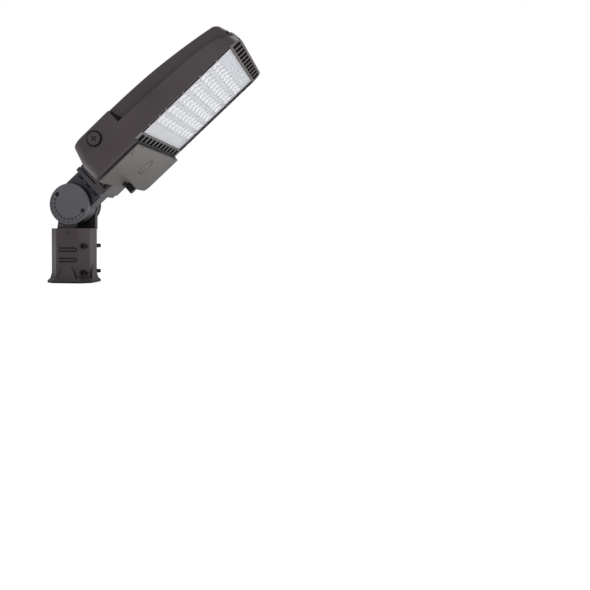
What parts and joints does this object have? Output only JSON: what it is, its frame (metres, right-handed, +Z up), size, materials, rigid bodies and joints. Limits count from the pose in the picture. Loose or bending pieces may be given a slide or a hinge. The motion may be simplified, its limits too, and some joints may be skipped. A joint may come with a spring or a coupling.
{
  "type": "shoebox area light",
  "caption": "Flat cast shoebox area light with a lensed light panel, tilting on a slip fitter with a round scale dial.",
  "frame": {"origin": "centre of the slip fitter's mouth, on the tenon bore's axis", "axes": "+Z up the pole tenon, +X towards the light head, Y along the tilt hinge"},
  "size_m": [0.3945, 0.3034, 0.4485],
  "materials": {
    "bronze_powder_coat": "fine textured powder coat on cast aluminium",
    "dial_powder_coat": "smooth powder coat",
    "dark_anodised": "black anodised aluminium",
    "black_screws": "black oxide steel",
    "zinc_steel": "zinc plated steel",
    "clear_lens": "clear moulded polycarbonate",
    "white_board": "white solder mask on an aluminium board",
    "phosphor": "yellow phosphor under silicone",
    "grey_connector": "moulded grey plastic",
    "white_plastic": "moulded white plastic",
    "black_rubber": "matt silicone rubber",
    "black_plastic": "moulded black plastic",
    "driver_case": "satin aluminium case",
    "green_screw": "green passivated steel"
  },
  "bodies": {
    "base": {"slip_fitter": "bronze_powder_coat", "set_screws": "black_screws"},
    "head": {"knuckle_arm": "bronze_powder_coat", "dial_near": "dial_powder_coat", "dial_far": "dial_powder_coat", "dial_screws": "black_screws", "arm_bolts": "black_screws", "arm_gasket": "black_rubber", "housing": "bronze_powder_coat", "heat_sink": "dark_anodised", "led_board": "white_board", "led_chips": "phosphor", "board_connectors": "grey_connector", "board_covers": "white_plastic", "board_screws": "zinc_steel", "lens_plate": "clear_lens", "lens_gasket": "white_plastic", "side_plug": "bronze_powder_coat", "plug_seal": "black_rubber", "door_seal": "black_rubber", "hinge_pins": "zinc_steel", "led_driver": "driver_case", "driver_screws": "zinc_steel", "surge_protector": "black_plastic", "terminal_block": "white_plastic", "ground_screw": "green_screw", "lead_grommet": "black_rubber", "led_lead": "black_plastic"},
    "door": {"driver_door": "bronze_powder_coat"},
    "knob": {"door_knob": "black_plastic", "knob_clip": "zinc_steel"}
  },
  "joints": [
    {"name": "head_tilt", "type": "hinge", "parent": "base", "child": "head", "pos_m": [0.003, 0, 0.1512], "axis": [0, -1, 0], "range_deg": [-52.4, 122.6]},
    {"name": "door_swing", "type": "hinge", "parent": "head", "child": "door", "pos_m": [0.17082, 0, 0.24919], "axis": [0, -1, 0], "range_deg": [0, 95]},
    {"name": "knob_turn", "type": "hinge", "parent": "door", "child": "knob", "pos_m": [0.10941, 0, 0.18742], "axis": [-0.6743, 0, 0.7385], "continuous": true}
  ]
}
